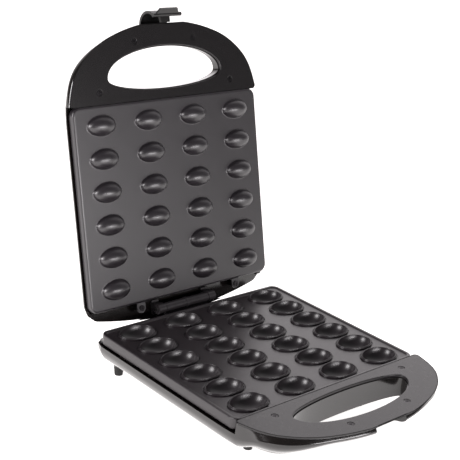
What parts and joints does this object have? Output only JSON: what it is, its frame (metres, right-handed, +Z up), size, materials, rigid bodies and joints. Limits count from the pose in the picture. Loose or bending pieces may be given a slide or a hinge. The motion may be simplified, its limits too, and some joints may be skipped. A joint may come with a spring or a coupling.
{
  "type": "nut-shaped cookie maker",
  "caption": "Hinged two-plate electric cookie maker standing open, egg-shaped cups below and matching domes in the lid, arched handle halves and a swinging latch.",
  "frame": {"origin": "on the table under the centre of the open appliance's bounding box, at the undersides of the feet", "axes": "+Z up; +Y towards the hinge, so the handle halves' tips point to -Y when the lid is closed; +X to the right seen from the handle"},
  "size_m": [0.2492, 0.3772, 0.3568],
  "materials": {
    "housing_plastic": "glossy black",
    "trim_plastic": "satin black",
    "dark_screws": "blackened",
    "lower_plate_coating": "satin dark grey non-stick coating",
    "upper_plate_coating": "satin purple-grey non-stick coating",
    "spring_steel": "plain spring steel",
    "element_steel": "heat-dulled steel sheath",
    "reflector_sheet": "bright rolled sheet",
    "ceramic": "glazed ceramic",
    "hinge_casting": "satin black",
    "steel": "zinc plated",
    "foot_rubber": "matt black",
    "red_lens": "translucent red",
    "green_lens": "translucent green",
    "lamp_glass": "clear",
    "latch_plastic": "satin black"
  },
  "bodies": {
    "base": {"base_shell": "housing_plastic", "base_bezel": "trim_plastic", "base_bezel_screws": "dark_screws", "lower_plate": "lower_plate_coating", "lower_plate_clips": "spring_steel", "lower_heating_element": "element_steel", "lower_reflector": "reflector_sheet", "thermostat": "ceramic", "thermal_fuse": "ceramic", "terminal_block": "ceramic", "base_hinge_knuckle": "hinge_casting", "base_hinge_screws": "steel", "hinge_pin": "steel", "cord_gland": "foot_rubber", "foot_front_left": "foot_rubber", "foot_front_right": "foot_rubber", "foot_rear_left": "foot_rubber", "foot_rear_right": "foot_rubber", "foot_screws": "steel"},
    "lid": {"lid_shell": "housing_plastic", "lid_bezel": "trim_plastic", "lid_bezel_screws": "dark_screws", "upper_plate": "upper_plate_coating", "upper_heating_element": "element_steel", "upper_reflector": "reflector_sheet", "plate_tab_left": "upper_plate_coating", "plate_tab_right": "upper_plate_coating", "plate_tab_screws": "steel", "lid_hinge_ear_left": "hinge_casting", "lid_hinge_ear_right": "hinge_casting", "lid_hinge_screws": "steel", "power_lamp_lens": "red_lens", "ready_lamp_lens": "green_lens", "power_lamp_bulb": "lamp_glass", "ready_lamp_bulb": "lamp_glass", "latch_pin": "steel"},
    "latch": {"latch_clip": "latch_plastic"}
  },
  "joints": [
    {"name": "lid_hinge", "type": "hinge", "parent": "base", "child": "lid", "pos_m": [0, 0.10351, 0.056], "axis": [1, 0, 0], "range_deg": [0, 103.4]},
    {"name": "latch_swing", "type": "hinge", "parent": "lid", "child": "latch", "pos_m": [0, 0.17827, 0.33096], "axis": [1, 0, 0], "range_deg": [-15, 18]}
  ]
}
